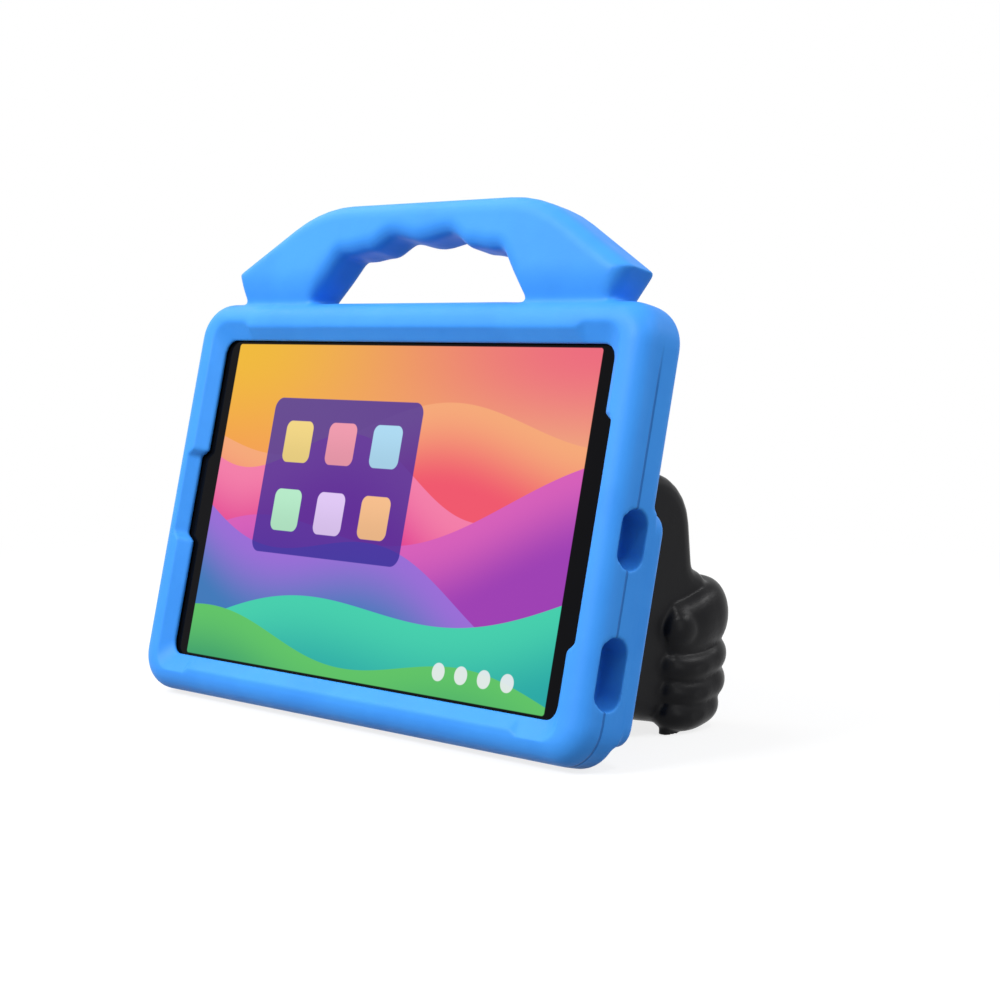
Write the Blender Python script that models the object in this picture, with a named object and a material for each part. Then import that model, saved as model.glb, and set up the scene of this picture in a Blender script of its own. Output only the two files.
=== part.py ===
"""Children's tablet case: a moulded foam frame with a carrying handle, the tablet that it holds,
and two hand-shaped stands plugged into its back. Metres, +Z up. The case leans back on its stands."""

import math

import bmesh
import bpy
from mathutils import Matrix, Vector

# How the case stands
LEAN = math.radians(13.13)

# The tablet, measured from the centre of its screen
TABLET_WIDTH = 0.2452
TABLET_HEIGHT = 0.1494
TABLET_THICKNESS = 0.0075
TABLET_CORNER = 0.007
TABLET_REAR_ROUND = 0.0024
SCREEN_MARGIN_X = 0.01385
SCREEN_MARGIN_Z = 0.00675
GLASS_THICKNESS = 0.0008
GLASS_INSET = 0.0004
SHELL_WALL = 0.002
SHELL_FLOOR = 0.0012
PANEL_THICKNESS = 0.0016
PANEL_BORDER = 0.0025
PART_CORNER = 0.001
BATTERY_MARGIN_Z = 0.0287
BATTERY_THICKNESS = 0.0021
BATTERY_END_GAPS = (0.0636, 0.0396)
BATTERY_CORNER = 0.003
BOARD_WIDTH = 0.044
BOARD_THICKNESS = 0.0012
BOARD_MARGIN_Z = 0.0157
BOARD_END_GAP = 0.0126
SEAT_GAP = 0.0003
PORT_HOLE = (0.0032, 0.0092)
SPEAKER_HOLE = (0.0016, 0.0180)
SOCKET_WALL = 0.0004
SOCKET_DEPTH = 0.0068
JACK_RADIUS = 0.0019
CAMERA_RADIUS = 0.0052
CAMERA_RIM = 0.0011
CAMERA_DEPTH = 0.0016
CAMERA_SEGMENTS = 32

# The foam frame round the tablet
FOAM_FIT = 0.0003
SIDE_WALL = 0.0119
BOTTOM_WALL = 0.0099
TOP_WALL = 0.0114
LIP_HEIGHT = 0.006
BACK_WALL = 0.0081
FRAME_CORNER = 0.016
FRONT_ROUND = 0.009
REAR_ROUND = 0.005
GROOVE_WIDTH = 0.0009
GROOVE_DEPTH = 0.0008
GROOVE_STOP = 0.0015

# The opening in front of the glass
LIP_COVER_SIDE = 0.0063
LIP_COVER_TOP = 0.0057
LIP_EDGE = 0.0013
OPENING_CORNER = 0.0055
BEVEL_RUN = 0.0055
SLOPE_CORNER = 0.008
CORNER_STEP = 0.0024
CORNER_STEP_INSET = 0.0211
STEP_RAMP = 0.0032
RIGHT_NOTCH = 0.004
RIGHT_NOTCH_HALF = 0.0405
LEFT_NOTCH = 0.0045
LEFT_NOTCH_SLOPE = 0.0036
LEFT_NOTCH_HALF = 0.017
NOTCH_RAMP = 0.003
# How far the bevel gets from the opening's edge, and how far it then reaches towards the front face
BEVEL_PROFILE = ((0.0, 0.0), (0.80, 0.78), (0.94, 0.93), (1.03, 1.02), (1.3, 1.5))

# Holes in the walls
SLOT_DEPTHS = (-0.0014, 0.0109)
PORT_SLOT = (-0.0119, 0.0103)
SPEAKER_SLOT = (-0.0627, -0.0362)
JACK_DROP = 0.0197
JACK_HOLE = 0.0105
CAMERA_INSET = 0.0186
CAMERA_DROP = 0.0157
CAMERA_WINDOW = 0.021
CAMERA_WINDOW_CORNER = 0.006
KEY_RELIEF_INSETS = (0.0256, 0.0746)
KEY_RELIEF_DEPTH = 0.0012

# The thick band across the back that takes the stands
PAD_DEPTH = 0.0056
PAD_TOP = 0.0116
PAD_BOTTOM = -0.0755
PAD_SIDE_INSET = 0.0021
PAD_CORNER = 0.008
PAD_ROUND = 0.0034

# The handle
HANDLE_FRONT_INSET = 0.001
HANDLE_REAR_INSET = 0.0004
HANDLE_TOP = 0.0414
HANDLE_ROUND = 0.0064
HANDLE_REAR_ROUND = 0.0042
HANDLE_SHOULDER = 0.0656
HANDLE_SHOULDER_ROUND = 0.07
EAR_X = 0.1163
EAR_DROP = 0.0286
EAR_FOOT_X = 0.1085
GRIP_FOOT_X = 0.0640
GRIP_FOOT_RISE = 0.0006
GRIP_WAIST_X = 0.0560
GRIP_WAIST_RISE = 0.0102
GRIP_WAIST_ROUND = 0.014
GRIP_TOP_X = 0.0486
GRIP_TOP_ROUND = 0.0052
LEG_ROOT = 0.007
LEG_RELIEF_RISE = 0.0135
LEG_RELIEF_DEPTH = 0.0034
# Underside of the grip, from its middle outwards: place along the bar and height over the frame's top
GRIP_WAVE = ((0.0, 0.0244), (0.0168, 0.0268), (0.0305, 0.0212), (0.0438, 0.0198))

# The stands: upright hands, thumb up. Places are from the middle of the screen, y backwards, z up
HAND_INNER = 0.0605
HAND_OUTER = 0.0965
HAND_ROUND = 0.007
THUMB_FRONT_Y = 0.0390
THUMB_REAR_Y = 0.0795
THUMB_TOP_Z = 0.0182
THUMB_ROUND = 0.023
THUMB_FRONT_ROUND = 0.012
THUMB_FRONT_SLOPE = 0.002
THUMB_CROTCH = (0.0832, -0.0205)
CROTCH_ROUND = 0.003
CROTCH_DROP = 0.004
CROTCH_BACK = 0.0015
PALM_REAR_Y = 0.0935
PALM_BOTTOM_GAP = 0.0034
PALM_BULGE_ROUND = 0.03
PALM_CORNER = 0.008
PALM_REAR_INSET = 0.006
HEEL_Y = 0.055
HEEL_Z = -0.0790
HEEL_RUN = 0.013
HEEL_ROUNDS = (0.010, 0.012)
WRIST_TOP_Z = -0.017
WRIST_BOTTOM_Z = -0.062
FOOT_X = (0.0934, 0.0980)
FOOT_Y = (0.0628, 0.0712)
FOOT_HEIGHT = 0.0074
FOOT_CORNER = 0.0015
FOOT_SEGMENTS = 2
FINGER_RADIUS = 0.0066
CORE_FRONT_Y = 0.0685
CORE_INSET = 0.0012
CORE_REACH = 0.0034
CORE_ROUND = 0.005
# Middle, ring and little finger: height of the knuckle, sag between, and how far the knuckle is set back
KNUCKLE_HEIGHTS = (-0.0545, -0.0648, -0.0742)
KNUCKLE_SAGS = (0.0050, 0.0046, 0.0034)
KNUCKLE_SETBACKS = (0.0, -0.0014, -0.0080)
# Each finger's way round the fist: x from the palm's outer face, and y
FINGER_PLACES = (
    (-0.0040, 0.0640), (-0.0012, 0.0668), (0.0006, 0.0745), (0.0000, 0.0845),
    (-0.0022, 0.0925), (-0.0095, 0.0975), (-0.0200, 0.0960), (-0.0275, 0.0890),
)
FINGER_SAG_SHARES = (0.5, 0.8, 1.0, 0.8, 0.35, 0.0, 0.0, 0.0)
FINGER_RADIUS_SHARES = (0.55, 0.9, 1.0, 1.0, 1.0, 1.0, 1.0, 0.85)
INDEX_RADIUS = 0.0086
INDEX_STRETCH = 1.56
# The index finger: x from the palm's outer face, y and z
INDEX_PLACES = (
    (-0.0048, 0.0652, -0.0450), (-0.0028, 0.0690, -0.0450), (-0.0022, 0.0770, -0.0445),
    (-0.0028, 0.0865, -0.0420), (-0.0046, 0.0938, -0.0400), (-0.0125, 0.0974, -0.0385),
    (-0.0210, 0.0950, -0.0385), (-0.0265, 0.0880, -0.0385),
)
INDEX_RADIUS_SHARES = (0.6, 0.88, 0.96, 1.0, 0.97, 0.95, 0.92, 0.8)
TENON_SIZE = (0.020, 0.0085, 0.026)
TENON_Z = -0.042
TENON_FIT = 0.0003
TENON_ROOT = 0.006
TRIM_REACH = 0.1

ROUND_END = 0.99
CORNER_SEGMENTS = 9
SMALL_SEGMENTS = 5
RIM_SEGMENTS = 5
SHARP_ANGLE = math.radians(38)
CUT_MARGIN = 0.004
WAVE_STEPS = 6
RELIEF_STEPS = 5

# Worked out from the sizes above
CAVITY_FRONT = -SEAT_GAP
CAVITY_BACK = TABLET_THICKNESS + SEAT_GAP
FRAME_FRONT = -LIP_HEIGHT
FRAME_BACK = TABLET_THICKNESS + BACK_WALL
FRAME_SIDE = TABLET_WIDTH / 2 + SIDE_WALL
FRAME_TOP = TABLET_HEIGHT / 2 + TOP_WALL
FRAME_BOTTOM = -TABLET_HEIGHT / 2 - BOTTOM_WALL
MID_DEPTH = TABLET_THICKNESS / 2
SCREEN_WIDTH = TABLET_WIDTH - 2 * SCREEN_MARGIN_X
SCREEN_HEIGHT = TABLET_HEIGHT - 2 * SCREEN_MARGIN_Z
CORNER_STEP_X = TABLET_WIDTH / 2 - CORNER_STEP_INSET
JACK_Z = TABLET_HEIGHT / 2 - JACK_DROP
CAMERA_X = CAMERA_INSET - TABLET_WIDTH / 2
CAMERA_Z = TABLET_HEIGHT / 2 - CAMERA_DROP
PORT_Z = (PORT_SLOT[0] + PORT_SLOT[1]) / 2
SPEAKER_Z = (SPEAKER_SLOT[0] + SPEAKER_SLOT[1]) / 2
PAD_BACK = FRAME_BACK + PAD_DEPTH
FLOOR_Z = -(
    (-FRAME_BOTTOM - REAR_ROUND) * math.cos(LEAN)
    + (FRAME_BACK - REAR_ROUND) * math.sin(LEAN)
    + REAR_ROUND
)

MATERIALS = {
    "foam_blue": ((0.09, 0.41, 0.95, 1.0), 0.45, 0.0),
    "stand_black": ((0.018, 0.018, 0.02, 1.0), 0.42, 0.0),
    "shell_black": ((0.012, 0.012, 0.014, 1.0), 0.35, 0.3),
    "glass_black": ((0.01, 0.01, 0.012, 1.0), 0.06, 0.0),
    "screen_panel": ((0.25, 0.1, 0.4, 1.0), 0.3, 0.0),
    "lens_dark": ((0.01, 0.012, 0.03, 1.0), 0.05, 0.0),
    "metal_bright": ((0.6, 0.6, 0.62, 1.0), 0.25, 1.0),
    "battery_grey": ((0.12, 0.12, 0.13, 1.0), 0.5, 0.0),
    "board_green": ((0.02, 0.14, 0.06, 1.0), 0.5, 0.0),
}


def clear_scene():
    for obj in list(bpy.data.objects):
        bpy.data.objects.remove(obj, do_unlink=True)


def new_collection(name, hidden=False):
    collection = bpy.data.collections.new(name)
    collection.hide_render = hidden
    bpy.context.scene.collection.children.link(collection)
    return collection


def material(name):
    """The named material, made the first time it is asked for."""
    found = bpy.data.materials.get(name)
    if found:
        return found
    color, roughness, metallic = MATERIALS[name]
    made = bpy.data.materials.new(name)
    made.use_nodes = True
    shader = made.node_tree.nodes["Principled BSDF"]
    shader.inputs["Base Color"].default_value = color
    shader.inputs["Roughness"].default_value = roughness
    shader.inputs["Metallic"].default_value = metallic
    made.diffuse_color = color
    return made


def empty(name, collection, parent=None):
    obj = bpy.data.objects.new(name, None)
    collection.objects.link(obj)
    obj.parent = parent
    return obj


def finish_mesh(name, bm, collection, parent, finish=None):
    """An object made from a closed bmesh, with its faces turned outwards."""
    bmesh.ops.recalc_face_normals(bm, faces=bm.faces)
    mesh = bpy.data.meshes.new(name)
    bm.to_mesh(mesh)
    bm.free()
    mesh.shade_smooth()
    mesh.set_sharp_from_angle(angle=SHARP_ANGLE)
    obj = bpy.data.objects.new(name, mesh)
    collection.objects.link(obj)
    obj.parent = parent
    if finish:
        mesh.materials.append(material(finish))
    if collection.hide_render:
        obj.hide_render = True
        obj.display_type = "WIRE"
    return obj


def rounded(corners, segments=CORNER_SEGMENTS):
    """The outline through (a, b, radius) corners, each corner replaced by an arc of its radius."""
    points = []
    count = len(corners)
    for index, (a, b, radius) in enumerate(corners):
        corner = Vector((a, b))
        if radius <= 0:
            points.append(corner)
            continue
        before = (Vector(corners[index - 1][:2]) - corner).normalized()
        after = (Vector(corners[(index + 1) % count][:2]) - corner).normalized()
        half = before.angle(after) / 2
        centre = corner + (before + after).normalized() * (radius / math.sin(half))
        start = corner + before * (radius / math.tan(half)) - centre
        end = corner + after * (radius / math.tan(half)) - centre
        sweep = start.angle_signed(end)
        points += [
            centre + Matrix.Rotation(-sweep * step / segments, 2) @ start
            for step in range(segments + 1)
        ]
    return points


def box_outline(low_a, high_a, low_b, high_b, radius, segments=CORNER_SEGMENTS):
    corners = (
        (low_a, low_b, radius),
        (high_a, low_b, radius),
        (high_a, high_b, radius),
        (low_a, high_b, radius),
    )
    return rounded(corners, segments)


def placed(point, depth, axis):
    """A flat outline's point, set at this depth along the axis that the outline is pushed out along."""
    a, b = point
    if axis == "X":
        return (depth, a, b)
    if axis == "Y":
        return (a, depth, b)
    return (a, b, depth)


def prism_bmesh(outline, low, high, axis):
    """An outline pushed out from low to high along an axis."""
    bm = bmesh.new()
    ring = [bm.verts.new(placed(point, low, axis)) for point in outline]
    base = bm.faces.new(ring)
    grown = bmesh.ops.extrude_face_region(bm, geom=[base])
    moved = [item for item in grown["geom"] if isinstance(item, bmesh.types.BMVert)]
    shift = Vector(placed((0, 0), high - low, axis))
    bmesh.ops.translate(bm, verts=moved, vec=shift)
    bmesh.ops.recalc_face_normals(bm, faces=bm.faces)
    return bm


def round_rim(bm, level, axis, radius, segments=RIM_SEGMENTS):
    """Rounds every edge that lies at this level along the axis."""
    place = "XYZ".index(axis)
    rim = [
        edge
        for edge in bm.edges
        if all(abs(vert.co[place] - level) < 1e-7 for vert in edge.verts)
    ]
    bmesh.ops.bevel(
        bm, geom=rim, offset=radius, offset_type="OFFSET", segments=segments, profile=0.5,
        affect="EDGES", clamp_overlap=False,
    )


def boolean(obj, other, operation):
    modifier = obj.modifiers.new(f"{operation} {other.name}", "BOOLEAN")
    modifier.object = other
    modifier.operation = operation
    modifier.solver = "EXACT"


def cut(obj, *cutters):
    for cutter in cutters:
        boolean(obj, cutter, "DIFFERENCE")


def join(obj, *others):
    for other in others:
        boolean(obj, other, "UNION")


def mirrored(corners):
    """Corners of a right half, from the middle outwards, with the left half put before them."""
    left = [(-x, z, radius) for x, z, radius in reversed(corners) if x > 0]
    return left + list(corners)


def frame_body(nodes, parent):
    """The plain frame block: rounded corners, a full front edge and a tighter rear one."""
    outline = box_outline(-FRAME_SIDE, FRAME_SIDE, FRAME_BOTTOM, FRAME_TOP, FRAME_CORNER)
    bm = prism_bmesh(outline, FRAME_FRONT, FRAME_BACK, "Y")
    round_rim(bm, FRAME_FRONT, "Y", FRONT_ROUND, RIM_SEGMENTS + 1)
    round_rim(bm, FRAME_BACK, "Y", REAR_ROUND)
    return finish_mesh("foam_case", bm, nodes, parent, "foam_blue")


def parting_groove(cutters, parent):
    """The mould's parting line: a thin slot round the side walls, which stops short of the handle."""
    inset = GROOVE_DEPTH
    low = MID_DEPTH - GROOVE_WIDTH / 2
    high = MID_DEPTH + GROOVE_WIDTH / 2
    outer = box_outline(
        -FRAME_SIDE - CUT_MARGIN, FRAME_SIDE + CUT_MARGIN,
        FRAME_BOTTOM - CUT_MARGIN, FRAME_TOP + CUT_MARGIN, FRAME_CORNER + CUT_MARGIN,
    )
    inner = box_outline(
        -FRAME_SIDE + inset, FRAME_SIDE - inset, FRAME_BOTTOM + inset, FRAME_TOP - inset,
        FRAME_CORNER - inset,
    )
    ring = finish_mesh("parting_groove", prism_bmesh(outer, low, high, "Y"), cutters, parent)
    core = prism_bmesh(inner, low - CUT_MARGIN, high + CUT_MARGIN, "Y")
    cut(ring, finish_mesh("parting_core", core, cutters, parent))
    reach = EAR_FOOT_X + GROOVE_STOP
    stop = box_outline(-reach, reach, 0, FRAME_TOP + 2 * CUT_MARGIN, 0)
    stop_body = prism_bmesh(stop, low - CUT_MARGIN, high + CUT_MARGIN, "Y")
    cut(ring, finish_mesh("parting_stop", stop_body, cutters, parent))
    return ring


def grip_underside():
    """Right half of the grip's finger waves, each an even swell between two named heights."""
    points = []
    for (x0, rise0), (x1, rise1) in zip(GRIP_WAVE, GRIP_WAVE[1:]):
        for step in range(WAVE_STEPS):
            share = (1 - math.cos(math.pi * step / WAVE_STEPS)) / 2
            x = x0 + (x1 - x0) * step / WAVE_STEPS
            points.append((x, FRAME_TOP + rise0 + (rise1 - rise0) * share, 0))
    return points


def handle(cutters, parent):
    """The carrying handle: a flat-topped arch with ears, and finger waves under its grip."""
    top = FRAME_TOP + HANDLE_TOP
    root = FRAME_TOP - LEG_ROOT
    grip_top = FRAME_TOP + GRIP_WAVE[-1][1]
    outside = (
        (HANDLE_SHOULDER, top, HANDLE_SHOULDER_ROUND),
        (EAR_X, top - EAR_DROP, 0),
        (EAR_FOOT_X, FRAME_TOP, 0),
        (EAR_FOOT_X, root, 0),
    )
    leg = (
        (GRIP_TOP_X, grip_top, GRIP_TOP_ROUND),
        (GRIP_WAIST_X, FRAME_TOP + GRIP_WAIST_RISE, GRIP_WAIST_ROUND),
        (GRIP_FOOT_X, FRAME_TOP + GRIP_FOOT_RISE, 0),
        (GRIP_FOOT_X, root, 0),
    )
    underside = mirrored(grip_underside() + list(leg))
    corners = mirrored(outside) + underside[::-1]
    front = FRAME_FRONT + HANDLE_FRONT_INSET
    back = FRAME_BACK - HANDLE_REAR_INSET
    bm = prism_bmesh(rounded(corners, SMALL_SEGMENTS), front, back, "Y")
    round_rim(bm, front, "Y", HANDLE_ROUND)
    round_rim(bm, back, "Y", HANDLE_REAR_ROUND)
    arch = finish_mesh("handle_arch", bm, cutters, parent)
    cut(arch, leg_relief(cutters, parent, front))
    return arch


def leg_relief(cutters, parent, front):
    """Hollows the front of both legs, so that the frame's rounded top edge runs on under them."""
    low = FRAME_TOP - FRONT_ROUND
    high = FRAME_TOP + LEG_RELIEF_RISE
    deep = front + LEG_RELIEF_DEPTH
    outline = [(front - CUT_MARGIN, low), (deep, low), (deep, FRAME_TOP)]
    for step in range(1, RELIEF_STEPS + 1):
        share = step / RELIEF_STEPS
        fall = (1 - share) ** 2
        outline.append((front + LEG_RELIEF_DEPTH * fall, FRAME_TOP + (high - FRAME_TOP) * share))
    outline.append((front - CUT_MARGIN, high))
    bm = prism_bmesh(outline, -FRAME_SIDE, FRAME_SIDE, "X")
    return finish_mesh("leg_relief", bm, cutters, parent)


def back_pad(cutters, parent):
    """The thick band across the lower back that carries the stands."""
    side = FRAME_SIDE - PAD_SIDE_INSET
    outline = box_outline(-side, side, PAD_BOTTOM, PAD_TOP, PAD_CORNER, SMALL_SEGMENTS)
    bm = prism_bmesh(outline, CAVITY_BACK + BACK_WALL / 2, PAD_BACK, "Y")
    round_rim(bm, PAD_BACK, "Y", PAD_ROUND)
    return finish_mesh("back_pad", bm, cutters, parent)


def tablet_cavity(cutters, parent):
    side = TABLET_WIDTH / 2 + FOAM_FIT
    top = TABLET_HEIGHT / 2 + FOAM_FIT
    outline = box_outline(-side, side, -top, top, TABLET_CORNER + FOAM_FIT, SMALL_SEGMENTS)
    bm = prism_bmesh(outline, CAVITY_FRONT, CAVITY_BACK, "Y")
    return finish_mesh("tablet_cavity", bm, cutters, parent)


def opening_ring(reach, right_notch, left_notch, corner_step, corner):
    """The opening's outline at this distance outside the glass opening, notches and steps included.
    Every ring has the same points in the same order, so that rings can be lofted."""
    side = TABLET_WIDTH / 2 - LIP_COVER_SIDE + reach
    top = TABLET_HEIGHT / 2 - LIP_COVER_TOP + reach
    right = (
        (RIGHT_NOTCH_HALF + NOTCH_RAMP, 0), (RIGHT_NOTCH_HALF, right_notch),
    )
    left = ((LEFT_NOTCH_HALF + NOTCH_RAMP, 0), (LEFT_NOTCH_HALF, left_notch))
    high = top + corner_step
    step_in = CORNER_STEP_X - STEP_RAMP

    corners = [(-side, -high, corner), (-CORNER_STEP_X, -high, 0), (-step_in, -top, 0)]
    corners += [(step_in, -top, 0), (CORNER_STEP_X, -high, 0), (side, -high, corner)]
    corners += [(side + out, -z, 0) for z, out in right]
    corners += [(side + out, z, 0) for z, out in reversed(right)]
    corners += [(side, high, corner), (CORNER_STEP_X, high, 0), (step_in, top, 0)]
    corners += [(-step_in, top, 0), (-CORNER_STEP_X, high, 0), (-side, high, corner)]
    corners += [(-side - out, z, 0) for z, out in left]
    corners += [(-side - out, -z, 0) for z, out in reversed(left)]
    return rounded(corners, SMALL_SEGMENTS)


def lip_opening(cutters, parent):
    """The opening over the glass: a thin edge, then a bevel that rolls over into the front face."""
    edge_level = CAVITY_FRONT - LIP_EDGE
    run = edge_level - FRAME_FRONT
    inner = opening_ring(0, RIGHT_NOTCH, LEFT_NOTCH, 0, OPENING_CORNER)
    outer = opening_ring(BEVEL_RUN, RIGHT_NOTCH / 2, LEFT_NOTCH_SLOPE, CORNER_STEP, SLOPE_CORNER)
    levels = [(0.0, CAVITY_FRONT + LIP_EDGE / 2)]
    levels += [(out, edge_level - run * rise) for out, rise in BEVEL_PROFILE]
    bm = bmesh.new()
    rings = []
    for share, level in levels:
        points = [a + (b - a) * share for a, b in zip(inner, outer)]
        rings.append([bm.verts.new(placed(point, level, "Y")) for point in points])
    for ring, following in zip(rings, rings[1:]):
        for index in range(len(ring)):
            bm.faces.new((ring[index - 1], ring[index], following[index], following[index - 1]))
    bm.faces.new(rings[0])
    bm.faces.new(rings[-1])
    return finish_mesh("lip_opening", bm, cutters, parent)


def wall_slot(name, cutters, parent, heights, depths, side):
    """A round-ended slot through a side wall, between these heights and depths."""
    radius = (depths[1] - depths[0]) / 2 * ROUND_END
    outline = box_outline(*depths, *heights, radius, SMALL_SEGMENTS + 2)
    inside = TABLET_WIDTH / 2 - LIP_EDGE
    ends = sorted((side * inside, side * (FRAME_SIDE + CUT_MARGIN)))
    return finish_mesh(name, prism_bmesh(outline, *ends, "X"), cutters, parent)


def camera_window(cutters, parent):
    half = CAMERA_WINDOW / 2
    outline = box_outline(
        CAMERA_X - half, CAMERA_X + half, CAMERA_Z - half, CAMERA_Z + half,
        CAMERA_WINDOW_CORNER, SMALL_SEGMENTS,
    )
    bm = prism_bmesh(outline, CAVITY_BACK - SEAT_GAP / 2, PAD_BACK, "Y")
    return finish_mesh("camera_window", bm, cutters, parent)


def key_relief(cutters, parent):
    """A shallow pocket over the tablet's keys, so that the foam doesn't press them."""
    low, high = (inset - TABLET_WIDTH / 2 for inset in KEY_RELIEF_INSETS)
    top = TABLET_HEIGHT / 2
    quarter = TABLET_THICKNESS / 4
    depths = (MID_DEPTH - quarter, MID_DEPTH + quarter)
    outline = box_outline(low, high, *depths, quarter / 2, SMALL_SEGMENTS)
    bm = prism_bmesh(outline, top - CUT_MARGIN, top + FOAM_FIT + KEY_RELIEF_DEPTH, "Z")
    return finish_mesh("key_relief", bm, cutters, parent)


def tenon_block(name, cutters, parent, side, fit, front, back):
    """The stand's tenon, or with a fit added, the socket that takes it."""
    middle = side * (HAND_INNER + HAND_OUTER) / 2
    half_x = TENON_SIZE[0] / 2 + fit
    half_z = TENON_SIZE[2] / 2 + fit
    heights = (TENON_Z - half_z, TENON_Z + half_z)
    outline = box_outline(middle - half_x, middle + half_x, *heights, half_x / 3, SMALL_SEGMENTS - 2)
    return finish_mesh(name, prism_bmesh(outline, front, back, "Y"), cutters, parent)


def foam_case(nodes, cutters, tilt):
    """The whole moulding: frame, handle and back band, then everything that is cut out of it."""
    body = frame_body(nodes, tilt)
    join(body, handle(cutters, tilt), back_pad(cutters, tilt))
    cut(body, tablet_cavity(cutters, tilt), lip_opening(cutters, tilt))
    cut(body, wall_slot("port_slot", cutters, tilt, PORT_SLOT, SLOT_DEPTHS, 1))
    cut(body, wall_slot("speaker_slot", cutters, tilt, SPEAKER_SLOT, SLOT_DEPTHS, 1))
    half = JACK_HOLE / 2
    heights = (JACK_Z - half, JACK_Z + half)
    depths = (MID_DEPTH - half, MID_DEPTH + half)
    cut(body, wall_slot("jack_hole", cutters, tilt, heights, depths, -1))
    cut(body, camera_window(cutters, tilt), key_relief(cutters, tilt))
    for side, word in ((1, "right"), (-1, "left")):
        depth = PAD_BACK - TENON_SIZE[1] - TENON_FIT
        ends = (depth, PAD_BACK + CUT_MARGIN)
        cut(body, tenon_block(f"socket_{word}", cutters, tilt, side, TENON_FIT, *ends))
    cut(body, parting_groove(cutters, tilt))
    return body


def tube(name, points, radius, cutters, parent, stretch=1.0):
    """A smooth tube through (x, y, z, share of radius) points, made a closed mesh.
    A stretch makes its section that much taller than it is wide."""
    level = points[-1][2]
    points = [(x, y, level + (z - level) / stretch, share) for x, y, z, share in points]
    curve = bpy.data.curves.new(name, "CURVE")
    curve.dimensions = "3D"
    curve.bevel_depth = radius
    curve.bevel_resolution = 3
    curve.resolution_u = 3
    curve.use_fill_caps = True
    spline = curve.splines.new("BEZIER")
    spline.bezier_points.add(len(points) - 1)
    for place, (x, y, z, share) in zip(spline.bezier_points, points):
        place.co = (x, y, z)
        place.radius = share
        place.handle_left_type = place.handle_right_type = "AUTO"
    guide = bpy.data.objects.new(f"{name}_guide", curve)
    cutters.objects.link(guide)
    bpy.context.view_layer.update()
    graph = bpy.context.evaluated_depsgraph_get()
    mesh = bpy.data.meshes.new_from_object(guide.evaluated_get(graph))
    bpy.data.objects.remove(guide, do_unlink=True)
    bm = bmesh.new()
    bm.from_mesh(mesh)
    bmesh.ops.remove_doubles(bm, verts=bm.verts, dist=0.00001)
    for vert in bm.verts:
        vert.co.z = level + (vert.co.z - level) * stretch
    return finish_mesh(name, bm, cutters, parent)


def palm(word, side, nodes, parent):
    """Wrist, palm and thumb: one outline seen from the side, pushed out to the hand's thickness."""
    bottom = FLOOR_Z + PALM_BOTTOM_GAP
    corners = (
        (0, WRIST_BOTTOM_Z, 0),
        (HEEL_Y, HEEL_Z, HEEL_ROUNDS[0]),
        (HEEL_Y + HEEL_RUN, bottom, HEEL_ROUNDS[1]),
        (PALM_REAR_Y - PALM_REAR_INSET, bottom, PALM_CORNER),
        (PALM_REAR_Y, (bottom + THUMB_CROTCH[1]) / 2, PALM_BULGE_ROUND),
        (PALM_REAR_Y - CROTCH_BACK, THUMB_CROTCH[1] - CROTCH_DROP, PALM_CORNER),
        (*THUMB_CROTCH, CROTCH_ROUND),
        (THUMB_REAR_Y, THUMB_TOP_Z, THUMB_ROUND),
        (THUMB_FRONT_Y, THUMB_TOP_Z, THUMB_FRONT_ROUND),
        (THUMB_FRONT_Y + THUMB_FRONT_SLOPE, WRIST_TOP_Z, PALM_CORNER),
        (0, WRIST_TOP_Z, 0),
    )
    ends = sorted((side * HAND_INNER, side * HAND_OUTER))
    bm = prism_bmesh(rounded(corners, SMALL_SEGMENTS + 1), *ends, "X")
    round_rim(bm, ends[0], "X", HAND_ROUND, RIM_SEGMENTS - 1)
    round_rim(bm, ends[1], "X", HAND_ROUND, RIM_SEGMENTS - 1)
    return finish_mesh(f"stand_hand_{word}", bm, nodes, parent, "stand_black")


def fingers(word, side, cutters, parent):
    """Four fingers curled round the fist, as tubes: a thick index finger over three like ones."""
    index = [
        (side * (HAND_OUTER + x), y, z, share)
        for (x, y, z), share in zip(INDEX_PLACES, INDEX_RADIUS_SHARES)
    ]
    made = [tube(f"index_finger_{word}", index, INDEX_RADIUS, cutters, parent, INDEX_STRETCH)]
    shares = list(zip(FINGER_PLACES, FINGER_SAG_SHARES, FINGER_RADIUS_SHARES))
    last = len(shares) - 1
    knuckles = zip(KNUCKLE_HEIGHTS, KNUCKLE_SAGS, KNUCKLE_SETBACKS)
    for number, (level, sag, set_back) in enumerate(knuckles):
        path = [
            (side * (HAND_OUTER + x), y + set_back * place / last, level - sag * droop, share)
            for place, ((x, y), droop, share) in enumerate(shares)
        ]
        made.append(tube(f"finger_{number + 1}_{word}", path, FINGER_RADIUS, cutters, parent))
    return made


def fist_core(word, side, cutters, parent):
    """Fills the fist behind the fingers, out to the middle of their thickness."""
    ends = sorted((side * (HAND_INNER + HAND_ROUND), side * (HAND_OUTER - CORE_INSET)))
    rear = PALM_REAR_Y + CORE_REACH
    outline = box_outline(*ends, CORE_FRONT_Y, rear, CORE_ROUND, SMALL_SEGMENTS - 1)
    bm = prism_bmesh(outline, KNUCKLE_HEIGHTS[-1], INDEX_PLACES[-1][2], "Z")
    return finish_mesh(f"fist_core_{word}", bm, cutters, parent)


def foot(word, side, cutters, parent):
    """The small flat foot under the fist that stands on the floor."""
    ends = sorted(side * x for x in FOOT_X)
    outline = box_outline(*ends, *FOOT_Y, FOOT_CORNER, FOOT_SEGMENTS)
    bm = prism_bmesh(outline, FLOOR_Z, FLOOR_Z + FOOT_HEIGHT, "Z")
    return finish_mesh(f"foot_{word}", bm, cutters, parent)


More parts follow.
